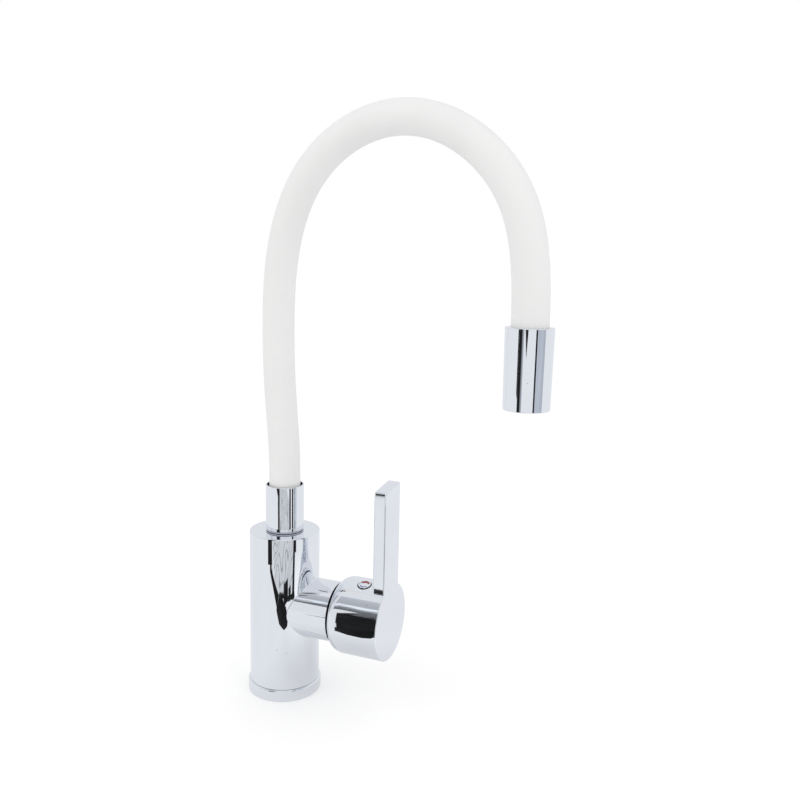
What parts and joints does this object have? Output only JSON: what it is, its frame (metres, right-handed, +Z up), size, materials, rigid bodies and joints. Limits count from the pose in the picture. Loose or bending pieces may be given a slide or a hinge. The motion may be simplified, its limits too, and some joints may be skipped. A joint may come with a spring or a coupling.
{
  "type": "flexible kitchen faucet",
  "caption": "Deck faucet: upright body, side lever cap, and a hose that arches over to a nozzle and stays as bent.",
  "frame": {"origin": "centre of the body's foot, on the deck", "axes": "+Z up along the body; +X along the handle's branch; -Y towards the viewer"},
  "size_m": [0.2209, 0.0769, 0.4095],
  "materials": {
    "chrome": "polished chrome plate",
    "brass": "turned brass",
    "steel": "drawn stainless steel",
    "ceramic": "lapped white ceramic",
    "grey_plastic": "moulded grey plastic",
    "white_plastic": "moulded white plastic",
    "black_rubber": "moulded black rubber",
    "white_silicone": "matt white silicone",
    "water_hose": "milky plastic hose",
    "red": "glossy red",
    "blue": "glossy blue"
  },
  "bodies": {
    "base": {"body_casting": "chrome", "foot_ring": "chrome", "base_gasket": "black_rubber", "cold_port_seal": "black_rubber", "hot_port_seal": "black_rubber", "outlet_port_seal": "black_rubber", "cartridge_base": "grey_plastic", "fixed_disc": "ceramic", "cartridge_housing": "grey_plastic", "retaining_nut": "brass"},
    "mixer": {"stem_carrier": "white_plastic", "pivot_pin": "steel"},
    "handle": {"control_stem": "brass", "handle": "chrome", "grub_screw": "steel", "index_bezel": "chrome", "index_red": "red", "index_blue": "blue"},
    "slider": {"moving_disc": "ceramic", "disc_coupler": "grey_plastic"},
    "spout": {"swivel_stem": "brass", "stem_o_ring_lower": "black_rubber", "stem_o_ring_upper": "black_rubber", "retaining_clip": "steel", "slip_washer": "white_plastic", "collar": "chrome", "hose_foot_fitting": "brass", "gooseneck_foot": "steel", "hose_sleeve": "white_silicone", "water_hose": "water_hose"},
    "hose_01": {"gooseneck_01": "steel"},
    "hose_02": {"gooseneck_02": "steel"},
    "hose_03": {"gooseneck_03": "steel"},
    "hose_04": {"gooseneck_04": "steel"},
    "hose_05": {"gooseneck_05": "steel"},
    "hose_06": {"gooseneck_06": "steel"},
    "hose_07": {"gooseneck_07": "steel"},
    "hose_08": {"gooseneck_08": "steel"},
    "hose_09": {"gooseneck_09": "steel"},
    "hose_10": {"gooseneck_10": "steel"},
    "hose_11": {"gooseneck_11": "steel"},
    "hose_12": {"gooseneck_12": "steel"},
    "nozzle": {"gooseneck_tip": "steel", "hose_tip_fitting": "brass", "nozzle_sleeve": "chrome", "aerator_housing": "chrome", "aerator_insert": "white_plastic", "aerator_screen": "steel", "aerator_washer": "black_rubber"}
  },
  "joints": [
    {"name": "handle_mix", "type": "hinge", "parent": "base", "child": "mixer", "pos_m": [0, 0, 0.0649], "axis": [1, 0, 0], "range_deg": [-50, 50]},
    {"name": "handle_flow", "type": "hinge", "parent": "mixer", "child": "handle", "pos_m": [0.03245, 0, 0.0649], "axis": [0, 1, 0], "range_deg": [0, 25]},
    {"name": "disc_slide", "type": "slide", "parent": "mixer", "child": "slider", "axis": [0, 0, 1], "range_m": [0, 0.0021]},
    {"name": "spout_swivel", "type": "hinge", "parent": "base", "child": "spout", "pos_m": [0, 0, 0.1202], "axis": [0, 0, 1], "continuous": true},
    {"name": "hose_lean", "type": "hinge", "parent": "spout", "child": "hose_01", "pos_m": [-0.00044, 0.00009, 0.17579], "axis": [0.1942, 0.981, 0], "range_deg": [-10, 10], "deforming": ["hose_sleeve", "water_hose"]},
    {"name": "hose_sway", "type": "hinge", "parent": "hose_01", "child": "hose_02", "pos_m": [-0.00331, 0.00066, 0.21182], "axis": [0.977, -0.1934, 0.0901], "range_deg": [-10, 10], "deforming": ["hose_sleeve", "water_hose"]},
    {"name": "hose_lean_2", "type": "hinge", "parent": "hose_02", "child": "hose_03", "pos_m": [-0.00546, 0.00108, 0.2479], "axis": [0.1942, 0.981, 0], "range_deg": [-10, 10]},
    {"name": "hose_sway_2", "type": "hinge", "parent": "hose_03", "child": "hose_04", "pos_m": [-0.00522, 0.00103, 0.28404], "axis": [0.98, -0.194, -0.0449], "range_deg": [-10, 10]},
    {"name": "hose_lean_3", "type": "hinge", "parent": "hose_04", "child": "hose_05", "pos_m": [-0.00091, 0.00018, 0.31987], "axis": [0.1942, 0.981, 0], "range_deg": [-10, 10]},
    {"name": "hose_sway_3", "type": "hinge", "parent": "hose_05", "child": "hose_06", "pos_m": [0.01149, -0.00228, 0.35359], "axis": [0.8497, -0.1682, -0.4997], "range_deg": [-10, 10]},
    {"name": "hose_lean_4", "type": "hinge", "parent": "hose_06", "child": "hose_07", "pos_m": [0.0349, -0.00691, 0.38041], "axis": [0.1942, 0.981, 0], "range_deg": [-10, 10]},
    {"name": "hose_sway_4", "type": "hinge", "parent": "hose_07", "child": "hose_08", "pos_m": [0.06671, -0.01321, 0.39585], "axis": [0.2414, -0.0478, -0.9692], "range_deg": [-10, 10]},
    {"name": "hose_curl", "type": "hinge", "parent": "hose_08", "child": "hose_09", "pos_m": [0.10189, -0.02017, 0.3975], "axis": [0.1942, 0.981, 0], "range_deg": [-12, 8], "deforming": ["hose_sleeve", "water_hose"]},
    {"name": "hose_sway_5", "type": "hinge", "parent": "hose_09", "child": "hose_10", "pos_m": [0.13486, -0.0267, 0.38483], "axis": [-0.5138, 0.1017, -0.8519], "range_deg": [-10, 10]},
    {"name": "hose_curl_2", "type": "hinge", "parent": "hose_10", "child": "hose_11", "pos_m": [0.16102, -0.03188, 0.36074], "axis": [0.1942, 0.981, 0], "range_deg": [-12, 8]},
    {"name": "hose_sway_6", "type": "hinge", "parent": "hose_11", "child": "hose_12", "pos_m": [0.17574, -0.0348, 0.32814], "axis": [-0.9545, 0.189, -0.2308], "range_deg": [-10, 10]},
    {"name": "hose_curl_3", "type": "hinge", "parent": "hose_12", "child": "nozzle", "pos_m": [0.17991, -0.03562, 0.2923], "axis": [0.1942, 0.981, 0], "range_deg": [-12, 8]}
  ],
  "couplings": [
    {"joint": "disc_slide", "follows": "handle_flow", "m_per_rad": 0.0047},
    {"joint": "hose_lean_2", "follows": "hose_lean", "ratio": 1},
    {"joint": "hose_sway_2", "follows": "hose_sway", "ratio": 1},
    {"joint": "hose_lean_3", "follows": "hose_lean", "ratio": 1},
    {"joint": "hose_sway_3", "follows": "hose_sway", "ratio": 1},
    {"joint": "hose_lean_4", "follows": "hose_lean", "ratio": 1},
    {"joint": "hose_sway_4", "follows": "hose_sway", "ratio": 1},
    {"joint": "hose_sway_5", "follows": "hose_sway", "ratio": 1},
    {"joint": "hose_curl_2", "follows": "hose_curl", "ratio": 1},
    {"joint": "hose_sway_6", "follows": "hose_sway", "ratio": 1},
    {"joint": "hose_curl_3", "follows": "hose_curl", "ratio": 1}
  ]
}
